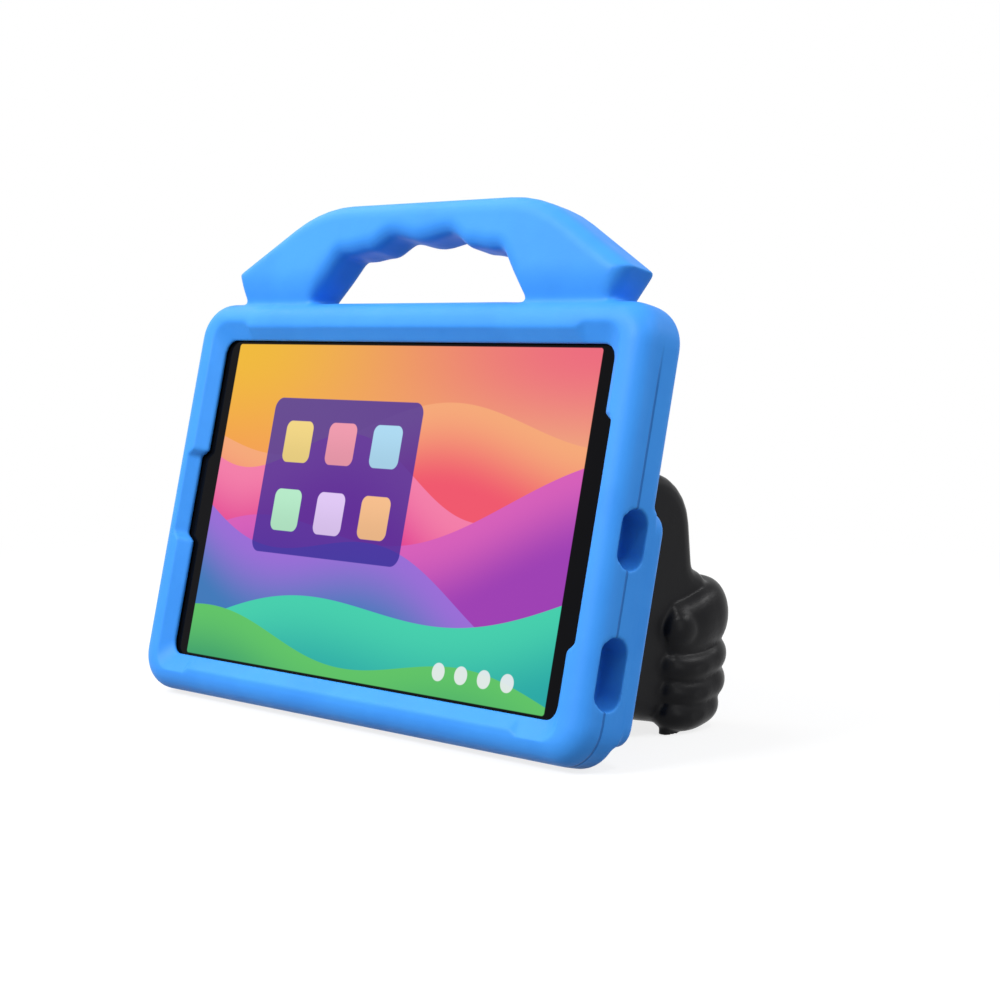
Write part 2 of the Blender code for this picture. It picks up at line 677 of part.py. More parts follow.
def stand_hand(word, side, nodes, cutters, upright, tilt):
    """One stand: palm, fingers and foot in one moulding, trimmed to the leaning back, with its tenon."""
    body = palm(word, side, nodes, upright)
    join(body, fist_core(word, side, cutters, upright), *fingers(word, side, cutters, upright))
    join(body, foot(word, side, cutters, upright))
    seat = PAD_BACK + SEAT_GAP
    ends = sorted((side * (HAND_INNER - TRIM_REACH), side * (HAND_OUTER + TRIM_REACH)))
    trim = box_outline(*ends, FRAME_BOTTOM * 2, FRAME_TOP * 2, 0)
    trimmer = prism_bmesh(trim, -TRIM_REACH, seat, "Y")
    cut(body, finish_mesh(f"seat_trim_{word}", trimmer, cutters, tilt))
    front = PAD_BACK - TENON_SIZE[1]
    join(body, tenon_block(f"tenon_{word}", cutters, tilt, side, 0, front, seat + TENON_ROOT))
    return body


def block(name, size, centre, nodes, parent, finish, corner=PART_CORNER):
    """A flat component lying behind the glass: width, thickness and height about its centre."""
    width, thickness, height = size
    x, y, z = centre
    sides = (x - width / 2, x + width / 2, z - height / 2, z + height / 2)
    outline = box_outline(*sides, corner, SMALL_SEGMENTS - 2)
    bm = prism_bmesh(outline, y - thickness / 2, y + thickness / 2, "Y")
    return finish_mesh(name, bm, nodes, parent, finish)


def tablet(nodes, cutters, parent):
    """The tablet that the case is made round: shell, glass, screen panel and what fills it."""
    side = TABLET_WIDTH / 2
    top = TABLET_HEIGHT / 2
    shell_front = GLASS_THICKNESS + SEAT_GAP
    outline = box_outline(-side, side, -top, top, TABLET_CORNER)
    bm = prism_bmesh(outline, shell_front, TABLET_THICKNESS, "Y")
    round_rim(bm, TABLET_THICKNESS, "Y", TABLET_REAR_ROUND, SMALL_SEGMENTS - 2)
    shell = finish_mesh("tablet_shell", bm, nodes, parent, "shell_black")
    pocket_side = side - SHELL_WALL
    pocket_top = top - SHELL_WALL
    corner = TABLET_CORNER - SHELL_WALL
    pocket = box_outline(-pocket_side, pocket_side, -pocket_top, pocket_top, corner, SMALL_SEGMENTS)
    floor = TABLET_THICKNESS - SHELL_FLOOR
    pocket_cut = prism_bmesh(pocket, shell_front - CUT_MARGIN, floor, "Y")
    cut(shell, finish_mesh("shell_pocket", pocket_cut, cutters, parent))
    cut(shell, *shell_holes(cutters, parent))

    glass = (TABLET_WIDTH - 2 * GLASS_INSET, GLASS_THICKNESS, TABLET_HEIGHT - 2 * GLASS_INSET)
    middle = (0, GLASS_THICKNESS / 2, 0)
    block("tablet_glass", glass, middle, nodes, parent, "glass_black", TABLET_CORNER)
    panel = (SCREEN_WIDTH + 2 * PANEL_BORDER, PANEL_THICKNESS, SCREEN_HEIGHT + 2 * PANEL_BORDER)
    panel_y = shell_front + PANEL_THICKNESS / 2
    block("screen_panel", panel, (0, panel_y, 0), nodes, parent, "screen_panel")
    behind = shell_front + PANEL_THICKNESS + SEAT_GAP
    left, right = (BATTERY_END_GAPS[0] - side, side - BATTERY_END_GAPS[1])
    battery = (right - left, BATTERY_THICKNESS, 2 * (top - BATTERY_MARGIN_Z))
    battery_at = ((left + right) / 2, floor - SEAT_GAP - BATTERY_THICKNESS / 2, 0)
    block("battery", battery, battery_at, nodes, parent, "battery_grey", BATTERY_CORNER)
    board = (BOARD_WIDTH, BOARD_THICKNESS, 2 * (top - BOARD_MARGIN_Z))
    board_at = (BOARD_END_GAP + BOARD_WIDTH / 2 - side, behind + BOARD_THICKNESS / 2, 0)
    block("main_board", board, board_at, nodes, parent, "board_green")
    sockets(nodes, parent)
    rear_camera(nodes, cutters, parent)


def side_hole(name, cutters, parent, size, z, side):
    """A round-ended hole through the tablet's end wall."""
    half_y, half_z = size[0] / 2, size[1] / 2
    sides = (MID_DEPTH - half_y, MID_DEPTH + half_y, z - half_z, z + half_z)
    outline = box_outline(*sides, half_y * ROUND_END, SMALL_SEGMENTS)
    inside = TABLET_WIDTH / 2 - SHELL_WALL - CUT_MARGIN / 2
    ends = sorted((side * inside, side * (TABLET_WIDTH / 2 + FOAM_FIT / 2)))
    return finish_mesh(name, prism_bmesh(outline, *ends, "X"), cutters, parent)


def camera_disc(radius, low, high):
    bm = bmesh.new()
    place = Matrix.Translation((CAMERA_X, (low + high) / 2, CAMERA_Z))
    bmesh.ops.create_cone(
        bm, cap_ends=True, segments=CAMERA_SEGMENTS, radius1=radius, radius2=radius, depth=high - low,
        matrix=place @ Matrix.Rotation(math.pi / 2, 4, "X"),
    )
    return bm


def shell_holes(cutters, parent):
    """Holes in the tablet's shell for its socket, speaker, audio jack and rear camera."""
    jack = (2 * JACK_RADIUS, 2 * JACK_RADIUS)
    lens = camera_disc(CAMERA_RADIUS, TABLET_THICKNESS - CUT_MARGIN, TABLET_THICKNESS + SEAT_GAP / 2)
    return (
        side_hole("port_cut", cutters, parent, PORT_HOLE, PORT_Z, 1),
        side_hole("speaker_cut", cutters, parent, SPEAKER_HOLE, SPEAKER_Z, 1),
        side_hole("jack_cut", cutters, parent, jack, JACK_Z, -1),
        finish_mesh("lens_cut", lens, cutters, parent),
    )


def sockets(nodes, parent):
    """The pieces behind the shell's end holes: charging socket, speaker and audio socket."""
    inner_wall = TABLET_WIDTH / 2 - SHELL_WALL - SEAT_GAP
    port_x = inner_wall - SOCKET_DEPTH / 2
    port = (SOCKET_DEPTH, PORT_HOLE[0] - SOCKET_WALL, PORT_HOLE[1] + 4 * SOCKET_WALL)
    middle = MID_DEPTH + SEAT_GAP
    block("charging_socket", port, (port_x, middle, PORT_Z), nodes, parent, "metal_bright", SOCKET_WALL)
    speaker = (SOCKET_DEPTH, PORT_HOLE[0] - SOCKET_WALL, SPEAKER_HOLE[1] + 4 * SOCKET_WALL)
    block("speaker", speaker, (port_x, middle, SPEAKER_Z), nodes, parent, "shell_black", SOCKET_WALL)
    jack = (SOCKET_DEPTH, PORT_HOLE[0] - SOCKET_WALL, 4 * JACK_RADIUS)
    block("audio_socket", jack, (-port_x, middle, JACK_Z), nodes, parent, "metal_bright", SOCKET_WALL)


def rear_camera(nodes, cutters, parent):
    """The camera's bright rim, seated in the shell, and the lens window inside it."""
    back = TABLET_THICKNESS + SEAT_GAP / 2
    rim_radius = CAMERA_RADIUS - SEAT_GAP
    rim_body = camera_disc(rim_radius, back - CAMERA_DEPTH, back)
    rim = finish_mesh("camera_rim", rim_body, nodes, parent, "metal_bright")
    bore = camera_disc(rim_radius - CAMERA_RIM, back - CAMERA_DEPTH - CUT_MARGIN, back + CUT_MARGIN)
    cut(rim, finish_mesh("camera_bore", bore, cutters, parent))
    lens_radius = rim_radius - CAMERA_RIM - SEAT_GAP
    window = camera_disc(lens_radius, back - CAMERA_DEPTH, back - CAMERA_DEPTH / 4)
    finish_mesh("camera_lens", window, nodes, parent, "lens_dark")


def stand_on_floor(root, nodes):
    """Moves everything so that the origin is under the middle of the box, on the floor."""
    bpy.context.view_layer.update()
    graph = bpy.context.evaluated_depsgraph_get()
    points = []
    for obj in nodes.objects:
        if obj.type == "MESH":
            shown = obj.evaluated_get(graph)
            points += [shown.matrix_world @ vert.co for vert in shown.data.vertices]
    low = [min(point[axis] for point in points) for axis in range(3)]
    high = [max(point[axis] for point in points) for axis in range(3)]
    root.location = (-(low[0] + high[0]) / 2, -(low[1] + high[1]) / 2, -low[2])


def main():
    clear_scene()
    nodes = new_collection("kids_tablet_case")
    cutters = new_collection("cutters", hidden=True)
    root = empty("case_origin", nodes)
    tilt = empty("leaning_case", nodes, root)
    tilt.rotation_euler.x = -LEAN
    upright = empty("upright_stands", nodes, root)
    foam_case(nodes, cutters, tilt)
    tablet(nodes, cutters, tilt)
    stand_hand("right", 1, nodes, cutters, upright, tilt)
    stand_hand("left", -1, nodes, cutters, upright, tilt)
    stand_on_floor(root, nodes)


main()
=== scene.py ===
"""Looks of the kids tablet case: satin blue foam round a lit tablet, leaning on matt black stands.
Metres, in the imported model's frame."""

import math

import bmesh
import bpy
import numpy as np
from mathutils import Matrix, Vector

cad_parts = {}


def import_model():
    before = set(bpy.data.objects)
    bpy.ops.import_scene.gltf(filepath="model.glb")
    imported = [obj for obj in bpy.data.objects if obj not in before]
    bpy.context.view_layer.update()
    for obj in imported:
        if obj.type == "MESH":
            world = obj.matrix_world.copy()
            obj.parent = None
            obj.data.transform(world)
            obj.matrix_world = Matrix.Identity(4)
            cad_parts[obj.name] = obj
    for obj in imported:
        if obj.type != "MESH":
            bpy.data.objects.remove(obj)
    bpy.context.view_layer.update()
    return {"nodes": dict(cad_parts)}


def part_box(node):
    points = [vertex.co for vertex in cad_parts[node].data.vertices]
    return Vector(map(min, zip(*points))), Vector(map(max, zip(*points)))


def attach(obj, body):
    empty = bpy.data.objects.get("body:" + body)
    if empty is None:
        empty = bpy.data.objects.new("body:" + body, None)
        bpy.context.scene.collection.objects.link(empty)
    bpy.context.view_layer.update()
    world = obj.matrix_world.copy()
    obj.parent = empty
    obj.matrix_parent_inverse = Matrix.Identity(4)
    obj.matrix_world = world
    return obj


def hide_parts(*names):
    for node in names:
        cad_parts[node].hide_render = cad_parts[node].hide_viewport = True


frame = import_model()

# The leaning case's own axes, and the middle of the tablet's screen in the frame
LEAN = math.radians(13.13)
RIGHT = Vector((1, 0, 0))
BACK = Vector((0, math.cos(LEAN), -math.sin(LEAN)))
UP = Vector((0, math.sin(LEAN), math.cos(LEAN)))
GLASS_THICKNESS = 0.0008
GLASS_LOW, GLASS_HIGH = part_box("tablet_glass")
CENTRE = (GLASS_LOW + GLASS_HIGH) / 2 - BACK * (GLASS_THICKNESS / 2)
FOAM_LOW, FOAM_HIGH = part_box("foam_case")

# The case, in its own axes, from the middle of the screen
SCREEN_HALF = (0.10875, 0.06795)
SCREEN_CORNER = 0.0012
FRAME_HALF_WIDTH = (FOAM_HIGH.x - FOAM_LOW.x) / 2
FRAME_TOP = 0.0861
FRAME_BOTTOM = -0.0846
FRAME_CORNER = 0.016
FRAME_BACK = 0.0156
REAR_ROUND = 0.005
GRIP_FOOT_X = 0.0640
EAR_FOOT_X = 0.1085

# The band across its lower back: how far its ends come out, and the ranges that this fades over,
# across from the middle, at the top and at the bottom
BAND_INSET = 0.0021
BAND_FADE_X = (0.118, 0.1285)
BAND_FADE_TOP = (0.0128, 0.0098)
BAND_FADE_BOTTOM = (-0.0765, -0.0735)

# The parting line round its walls: depth of its middle, and the ranges that the line fades over
PARTING_DEPTH = 0.00375
PARTING_HALF_WIDTH = (0.0008, 0.0002)
PARTING_ON_WALL = (-0.0022, -0.0012)
PARTING_PAST_EAR = (EAR_FOOT_X + 0.001, EAR_FOOT_X + 0.002)
PARTING_LOWER_HALF = (0.01, 0.0)
PARTING_BELOW_TOP = (FRAME_TOP - 0.012, FRAME_TOP - 0.034)

# The easing of its creases: a share and rounds everywhere, and more of both at the handle's feet
CREASE_SHARE = 0.25
CREASE_ROUNDS = 5
FOOT_SHARE = 0.35
FOOT_LATE_SHARE = 0.5
FOOT_LATE_ROUNDS = 24
FOOT_HEIGHT = 0.009
FOOT_LEAD = 0.012
FOOT_FADE = 0.006

# The fingers, in the frame: x from the hand's outer face, y and z from the middle of the screen.
# A finger's points are x, y, share of its knuckle's sag and share of its radius
HAND_OUTER = 0.0965
FINGER_RADIUS = 0.0069
FINGER_WAY = (
    (-0.0040, 0.0640, 0.5, 0.55), (-0.0012, 0.0668, 0.8, 0.9), (0.0006, 0.0745, 1.0, 1.0),
    (0.0000, 0.0845, 0.8, 1.0), (-0.0022, 0.0925, 0.35, 1.0), (-0.0095, 0.0975, 0.0, 1.0),
    (-0.0200, 0.0960, 0.0, 1.0), (-0.0275, 0.0890, 0.0, 0.85),
)
# Each finger's level, sag, and how far its far end is set back
KNUCKLES = ((-0.0545, 0.0050, 0.0), (-0.0648, 0.0046, -0.0014), (-0.0742, 0.0034, -0.0080))
TIP_SHARE = 0.9
TIP_INSET = 0.0006
# The index finger's points are x, y, z and share of its radius, and it is taller than wide
INDEX_RADIUS = 0.0089
INDEX_STRETCH = 1.56
INDEX_WAY = (
    (-0.0048, 0.0652, -0.0450, 0.6), (-0.0028, 0.0690, -0.0450, 0.88),
    (-0.0022, 0.0770, -0.0445, 0.96), (-0.0028, 0.0865, -0.0420, 1.0),
    (-0.0046, 0.0938, -0.0400, 0.97), (-0.0125, 0.0974, -0.0385, 0.95),
    (-0.0210, 0.0950, -0.0385, 0.92), (-0.0265, 0.0880, -0.0385, 0.8),
)
FINGERTIP = (0.0009, 0.0715, -0.0440)
FINGERTIP_SIZE = (0.0060, 0.0095, 0.0080)

# The easing of the stands' creases, which leaves the feet flat: heights from the floor
STAND_SHARE = 0.5
STAND_ROUNDS = 16
STAND_FADE = (0.0015, 0.005)

# How fine the meshes are
FOAM_VOXEL = 0.0007
STAND_VOXEL = 0.0005
FOAM_TRIANGLES = 190000
STAND_TRIANGLES = 90000
TUBE_ROUNDING = 10
TUBE_STEPS = 12
BALL_FACETS = (40, 24)
FLOOR_SIDES = 64

# The picture on the screen, from its middle. A band is a wavy line's height, slope, swing, length
# and shift, and its colour far under the line and at it
EDGE = 0.0002
BAND_SHADE = 0.034
BANDS = (
    (0.034, 0.05, 0.010, 0.19, 0.6, (0.93, 0.10, 0.16), (0.98, 0.42, 0.20)),
    (0.017, -0.10, 0.012, 0.15, 2.4, (0.80, 0.05, 0.30), (0.96, 0.22, 0.42)),
    (-0.004, 0.16, 0.011, 0.21, 4.1, (0.36, 0.05, 0.48), (0.72, 0.12, 0.52)),
    (-0.022, -0.20, 0.010, 0.17, 1.2, (0.05, 0.20, 0.52), (0.34, 0.16, 0.72)),
    (-0.040, 0.14, 0.009, 0.23, 3.0, (0.02, 0.42, 0.40), (0.06, 0.66, 0.44)),
    (-0.058, -0.06, 0.006, 0.16, 5.2, (0.02, 0.30, 0.16), (0.12, 0.58, 0.14)),
)
PANEL_MIDDLE = (-0.030, 0.012)
PANEL_HALF = (0.047, 0.033)
PANEL_CORNER = 0.005
PANEL_SHARE = 0.88
TILE_HALF = 0.0088
TILE_CORNER = 0.0034
TILE_STEP = (0.028, 0.029)
TILE_COLUMNS = 3
TILE_DIM = 0.55
TILE_TINTS = (
    (0.95, 0.72, 0.25), (0.92, 0.35, 0.45), (0.45, 0.75, 0.95),
    (0.50, 0.88, 0.62), (0.80, 0.62, 0.98), (0.98, 0.55, 0.28),
)
DOTS = 4
DOT_FIRST = (0.050, -0.0585)
DOT_STEP = 0.0125
DOT_HALF = 0.0035
DOT_CORNER = 0.0034
DOT_SHARE = 0.85
SCREEN_GLOW = 0.93

# The camera that the photograph was solved to
CAMERA_LENS = 79.2
CAMERA_SENSOR = 36
CAMERA_NEAR = 0.01
CAMERA_FROM_CENTRE = Vector((0.6627, -0.5715, 0.0750))
CAMERA_AZIMUTH = math.radians(46.04)
CAMERA_ELEVATION = math.radians(4.58)

# Light: what the world sends into the shade, and how the floor fades to plain white further out
AMBIENT = 0.36
FLOOR_REACH = (0.30, 0.75)
FLOOR_PALE = 0.25
FLOOR_GLOW = 0.80
LAMP_AIM = Vector((0, 0, 0.09))
# Name, place, size and power of each lamp
LAMPS = (
    ("key", (-0.35, -1.25, 1.05), (0.9, 0.7), 25.5),
    ("top", (-1.0, -0.1, 1.1), (0.9, 0.9), 5),
    ("glint", (0.75, 0.0, 1.29), (0.18, 0.18), 3.6),
    ("side", (1.3, 0.05, 0.5), (0.4, 0.9), 2.5),
    ("rear", (0.75, 0.85, 0.9), (0.25, 0.25), 3.5),
)


class Graph:
    """A material's node tree, with a short call for each kind of node."""

    def __init__(self, name):
        self.material = bpy.data.materials.new(name)
        self.material.use_nodes = True
        self.tree = self.material.node_tree
        self.shader = self.tree.nodes["Principled BSDF"]

    def feed(self, socket, value):
        if isinstance(value, bpy.types.NodeSocket):
            self.tree.links.new(value, socket)
        elif socket.type == "RGBA":
            socket.default_value = (*value, 1.0)
        else:
            socket.default_value = value

    def node(self, kind, inputs=None, **settings):
        made = self.tree.nodes.new(kind)
        for key, value in settings.items():
            setattr(made, key, value)
        for key, value in (inputs or {}).items():
            self.feed(made.inputs[key], value)
        return made

    def place(self):
        """The shaded point, in the frame."""
        return self.node("ShaderNodeTexCoord").outputs["Object"]

    def math(self, operation, a, b=0.0, c=0.0):
        return self.node("ShaderNodeMath", {0: a, 1: b, 2: c}, operation=operation).outputs[0]

    def along(self, axis):
        """Distance of the shaded point from the middle of the screen along an axis."""
        offset = self.node("ShaderNodeVectorMath", {0: self.place(), 1: CENTRE}, operation="SUBTRACT")
        made = self.node("ShaderNodeVectorMath", {0: offset.outputs[0], 1: axis}, operation="DOT_PRODUCT")
        return made.outputs["Value"]

    def between(self, value, low, high, start=0.0, end=1.0):
        """Runs smoothly from start to end while the value goes from low to high."""
        made = self.node(
            "ShaderNodeMapRange",
            {"Value": value, "From Min": low, "From Max": high, "To Min": start, "To Max": end},
            interpolation_type="SMOOTHSTEP",
        )
        return made.outputs["Result"]

    def inside(self, distance, share=1.0):
        """The share where a distance is negative, and nought outside, with a crisp edge."""
        return self.between(distance, EDGE, -EDGE, end=share)

    def noise(self, scale, detail=2.0, roughness=0.5, vector=None):
        inputs = {"Scale": scale, "Detail": detail, "Roughness": roughness}
        inputs["Vector"] = vector or self.place()
        return self.node("ShaderNodeTexNoise", inputs).outputs["Fac"]

    def cells(self, scale):
        """Distance from the nearest of many scattered spots."""
        inputs = {"Vector": self.place(), "Scale": scale}
        return self.node("ShaderNodeTexVoronoi", inputs).outputs["Distance"]

    def mix(self, share, a, b):
        made = self.node("ShaderNodeMix", data_type="RGBA")
        self.feed(made.inputs["Factor"], share)
        self.feed(made.inputs["A"], a)
        self.feed(made.inputs["B"], b)
        return made.outputs["Result"]

    def bump(self, height, distance, strength=1.0, normal=None):
        inputs = {"Height": height, "Distance": distance, "Strength": strength}
        if normal:
            inputs["Normal"] = normal
        return self.node("ShaderNodeBump", inputs).outputs["Normal"]

    def finish(self, **inputs):
        for key, value in inputs.items():
            self.feed(self.shader.inputs[key.replace("_", " ")], value)
        return self.material


def rounded_box(graph, x, z, centre, half, radius):
    """Distance outside a round-cornered rectangle in the screen's plane, negative inside."""
    parts = []
    for value, middle, size in ((x, centre[0], half[0]), (z, centre[1], half[1])):
        away = graph.math("ABSOLUTE", graph.math("SUBTRACT", value, middle))
        parts.append(graph.math("MAXIMUM", graph.math("SUBTRACT", away, size - radius), 0.0))
    squares = graph.math("ADD", graph.math("POWER", parts[0], 2.0), graph.math("POWER", parts[1], 2.0))
    return graph.math("SUBTRACT", graph.math("SQRT", squares), radius)


def parting_line(graph):
    """One on the line where the mould's halves met, round the frame's walls below its top corners. It
    sinks the groove's bump and marks where the groove's shade is painted darker.
    """
    x, depth, z = graph.along(RIGHT), graph.along(BACK), graph.along(UP)
    middle = (FRAME_TOP + FRAME_BOTTOM) / 2
    half = (FRAME_HALF_WIDTH, (FRAME_TOP - FRAME_BOTTOM) / 2)
    on_wall = graph.between(
        rounded_box(graph, x, z, (0.0, middle), half, FRAME_CORNER), *PARTING_ON_WALL
    )
    clear_of_handle = graph.math(
        "MAXIMUM", graph.between(graph.math("ABSOLUTE", x), *PARTING_PAST_EAR),
        graph.between(z, *PARTING_LOWER_HALF),
    )
    away = graph.math("ABSOLUTE", graph.math("SUBTRACT", depth, PARTING_DEPTH))
    line = graph.between(away, *PARTING_HALF_WIDTH)
    for mask in (on_wall, clear_of_handle, graph.between(z, *PARTING_BELOW_TOP)):
        line = graph.math("MULTIPLY", line, mask)
    return line


def foam_blue():
    """Satin moulded foam: fine grain, slight unevenness, and the mould's parting line, its groove's shade
    painted darker into the colour.
    """
    graph = Graph("foam_blue")
    line = parting_line(graph)
    tint = graph.noise(28.0, detail=3.0, roughness=0.6)
    blue = graph.mix(graph.between(tint, 0.3, 0.7), (0.041, 0.290, 0.88), (0.049, 0.320, 0.92))
    # The parting line is painted darker here: painted shade in its groove, on top of its bump.
    color = graph.mix(graph.math("MULTIPLY", line, 0.65), blue, (0.006, 0.09, 0.38))
    patches = graph.noise(90.0, detail=4.0, roughness=0.6)
    roughness = graph.between(patches, 0.2, 0.8, start=0.48, end=0.56)
    swell = graph.bump(graph.noise(38.0), distance=0.0009, strength=0.35)
    grain = graph.noise(1150.0, detail=3.0, roughness=0.6)
    skin = graph.bump(grain, distance=0.00012, strength=0.35, normal=swell)
    groove = graph.math("SUBTRACT", 1.0, line)
    normal = graph.bump(groove, distance=0.0005, strength=0.7, normal=skin)
    return graph.finish(Base_Color=color, Roughness=roughness, Normal=normal, Specular_IOR_Level=0.22)


def stand_black():
    """Matt black moulding with a fine even grain and slightly worn, paler patches at random."""
    graph = Graph("stand_black")
    worn = graph.noise(45.0, detail=3.0)
    shade = graph.mix(worn, (0.0045, 0.0045, 0.0055), (0.009, 0.009, 0.0105))
    patches = graph.noise(120.0, detail=4.0, roughness=0.6)
    roughness = graph.between(patches, 0.2, 0.8, start=0.30, end=0.38)
    swell = graph.bump(graph.noise(70.0), distance=0.0006, strength=0.25)
    grain = graph.noise(1300.0)
    normal = graph.bump(grain, distance=0.0001, strength=0.3, normal=swell)
    return graph.finish(Base_Color=shade, Roughness=roughness, Normal=normal, Specular_IOR_Level=0.11)


def wave(graph, x, height, slope, swing, length, shift):
    """Height of a wavy line across the screen: level, slope, and a swing of this length."""
    turn = graph.math("MULTIPLY_ADD", x, 2 * math.pi / length, shift)
    straight = graph.math("MULTIPLY_ADD", x, slope, height)
    return graph.math("MULTIPLY_ADD", graph.math("SINE", turn), swing, straight)


def wallpaper(graph, x, z):
    """Soft bands of colour, each under its own wavy line, like dunes lit from the left."""
    across = graph.between(x, -SCREEN_HALF[0], SCREEN_HALF[0])
    sky_low = graph.mix(across, (0.98, 0.30, 0.10), (0.95, 0.62, 0.22))
    sky_high = graph.mix(across, (0.93, 0.52, 0.04), (0.90, 0.16, 0.22))
    color = graph.mix(graph.between(z, -0.01, SCREEN_HALF[1]), sky_low, sky_high)
    for *line, deep, lit in BANDS:
        below = graph.math("SUBTRACT", wave(graph, x, *line), z)
        shade = graph.mix(graph.between(below, 0.0, BAND_SHADE), lit, deep)
        color = graph.mix(graph.between(below, -EDGE, EDGE), color, shade)
    return color


def panel_tiles(graph, x, z, color):
    """A see-through indigo panel with two rows of plain round tiles, and four dots under it."""
    panel = rounded_box(graph, x, z, PANEL_MIDDLE, PANEL_HALF, PANEL_CORNER)
    color = graph.mix(graph.inside(panel, PANEL_SHARE), color, (0.03, 0.02, 0.33))
    for index, tint in enumerate(TILE_TINTS):
        row, column = divmod(index, TILE_COLUMNS)
        middle_x = PANEL_MIDDLE[0] + (column - 1) * TILE_STEP[0]
        middle_z = PANEL_MIDDLE[1] + (0.5 - row) * TILE_STEP[1]
        tile = rounded_box(graph, x, z, (middle_x, middle_z), (TILE_HALF, TILE_HALF), TILE_CORNER)
        glow = graph.between(z, middle_z - TILE_HALF, middle_z + TILE_HALF, start=0.72)
        lit = graph.mix(glow, tuple(TILE_DIM * part for part in tint), tint)
        color = graph.mix(graph.inside(tile), color, lit)
    for index in range(DOTS):
        spot = (DOT_FIRST[0] + index * DOT_STEP, DOT_FIRST[1])
        dot = rounded_box(graph, x, z, spot, (DOT_HALF, DOT_HALF), DOT_CORNER)
        color = graph.mix(graph.inside(dot, DOT_SHARE), color, (0.9, 0.92, 0.95))
    return color


def glass_black():
    """The glass: black round the edge, and over the screen the lit picture under it."""
    graph = Graph("glass_black")
    x, z = graph.along(RIGHT), graph.along(UP)
    picture = panel_tiles(graph, x, z, wallpaper(graph, x, z))
    lit = graph.inside(rounded_box(graph, x, z, (0.0, 0.0), SCREEN_HALF, SCREEN_CORNER))
    streak = graph.noise(16.0, detail=3.0, roughness=0.6)
    roughness = graph.between(streak, 0.3, 0.75, start=0.05, end=0.11)
    border = graph.mix(streak, (0.0018, 0.0018, 0.0026), (0.0032, 0.0032, 0.0042))
    graph.finish(Base_Color=border, Roughness=roughness, Specular_IOR_Level=0.04)
    return graph.finish(
        Emission_Color=picture, Emission_Strength=graph.math("MULTIPLY", lit, SCREEN_GLOW)
    )


def shell_black():
    """Painted metal with a fine sparkle."""
    graph = Graph("shell_black")
    fleck = graph.noise(2400.0, detail=1.0)
    color = graph.mix(graph.between(fleck, 0.5, 0.75), (0.011, 0.011, 0.013), (0.03, 0.03, 0.034))
    normal = graph.bump(fleck, distance=0.00005, strength=0.3)
    return graph.finish(Base_Color=color, Roughness=0.36, Metallic=0.35, Normal=normal)


def metal_bright():
    """Brushed metal, its lines along the width."""
    graph = Graph("metal_bright")
    stretched = graph.node("ShaderNodeMapping", {"Vector": graph.place(), "Scale": (60.0, 3200.0, 3200.0)})
    brushed = graph.noise(1.0, detail=3.0, roughness=0.6, vector=stretched.outputs[0])
    color = graph.mix(brushed, (0.46, 0.46, 0.48), (0.68, 0.68, 0.70))
    roughness = graph.between(brushed, 0.3, 0.7, start=0.22, end=0.36)
    normal = graph.bump(brushed, distance=0.00004, strength=0.4)
    return graph.finish(Base_Color=color, Roughness=roughness, Metallic=1.0, Normal=normal)


def speaker_mesh():
    """Fine black grille cloth: a woven pattern of round pits, with shade painted darker in the pits."""
    graph = Graph("speaker_mesh")
    pit = graph.between(graph.cells(1700.0), 0.2, 0.45)
    # The pits are painted darker: painted shade in the pits, matching their bump.
    color = graph.mix(pit, (0.003, 0.003, 0.003), (0.03, 0.03, 0.032))
    normal = graph.bump(pit, distance=0.0001, strength=0.6)
    return graph.finish(Base_Color=color, Roughness=0.6, Normal=normal)


def lens_dark():
    """Coated lens glass: near black, with a faint violet reflection of its coating painted into the colour
    towards the grazing edge.
    """
    graph = Graph("lens_dark")
    painted_coating_reflection = graph.node("ShaderNodeFresnel", {"IOR": 1.4}).outputs[0]
    # The violet at grazing angles is a painted reflection of the coating.
    color = graph.mix(graph.math("MULTIPLY", painted_coating_reflection, 0.6), (0.004, 0.005, 0.014), (0.09, 0.03, 0.16))
    haze = graph.between(graph.noise(500.0), 0.3, 0.8, start=0.03, end=0.07)
    return graph.finish(Base_Color=color, Roughness=haze, Coat_Weight=0.6)


def battery_grey():
    """Foil pouch: soft creases, their shade painted darker into the colour, and a dull sheen."""
    graph = Graph("battery_grey")
    crease = graph.noise(160.0, detail=4.0, roughness=0.7)
    # Darker where the crease noise sinks the bump: painted shade in the creases.
    color = graph.mix(crease, (0.09, 0.09, 0.10), (0.15, 0.15, 0.16))
    roughness = graph.between(crease, 0.3, 0.7, start=0.42, end=0.58)
    normal = graph.bump(crease, distance=0.0004, strength=0.4)
    return graph.finish(Base_Color=color, Roughness=roughness, Normal=normal)


def board_green():
    """Circuit board: lacquer over fine tracks, with plain solder spots."""
    graph = Graph("board_green")
    spot = graph.between(graph.cells(260.0), 0.16, 0.12)
    track = graph.between(graph.noise(420.0, detail=1.0), 0.49, 0.52)
    lacquer = graph.mix(track, (0.012, 0.10, 0.04), (0.02, 0.16, 0.07))
    color = graph.mix(spot, lacquer, (0.6, 0.58, 0.52))
    roughness = graph.between(spot, 0.0, 1.0, start=0.35, end=0.25)
    normal = graph.bump(track, distance=0.00006, strength=0.5)
    return graph.finish(Base_Color=color, Roughness=roughness, Normal=normal)


def screen_stack():
    """The display's layers behind the glass: dark film with a faint violet unevenness."""
    graph = Graph("screen_stack")
    haze = graph.noise(60.0, detail=3.0)
    color = graph.mix(haze, (0.05, 0.04, 0.10), (0.12, 0.07, 0.16))
    roughness = graph.between(haze, 0.3, 0.7, start=0.18, end=0.3)
    return graph.finish(Base_Color=color, Roughness=roughness, Coat_Weight=0.4)


def added(name, data):
    """A new object of the scene."""
    obj = bpy.data.objects.new(name, data)
    bpy.context.scene.collection.objects.link(obj)
    return obj


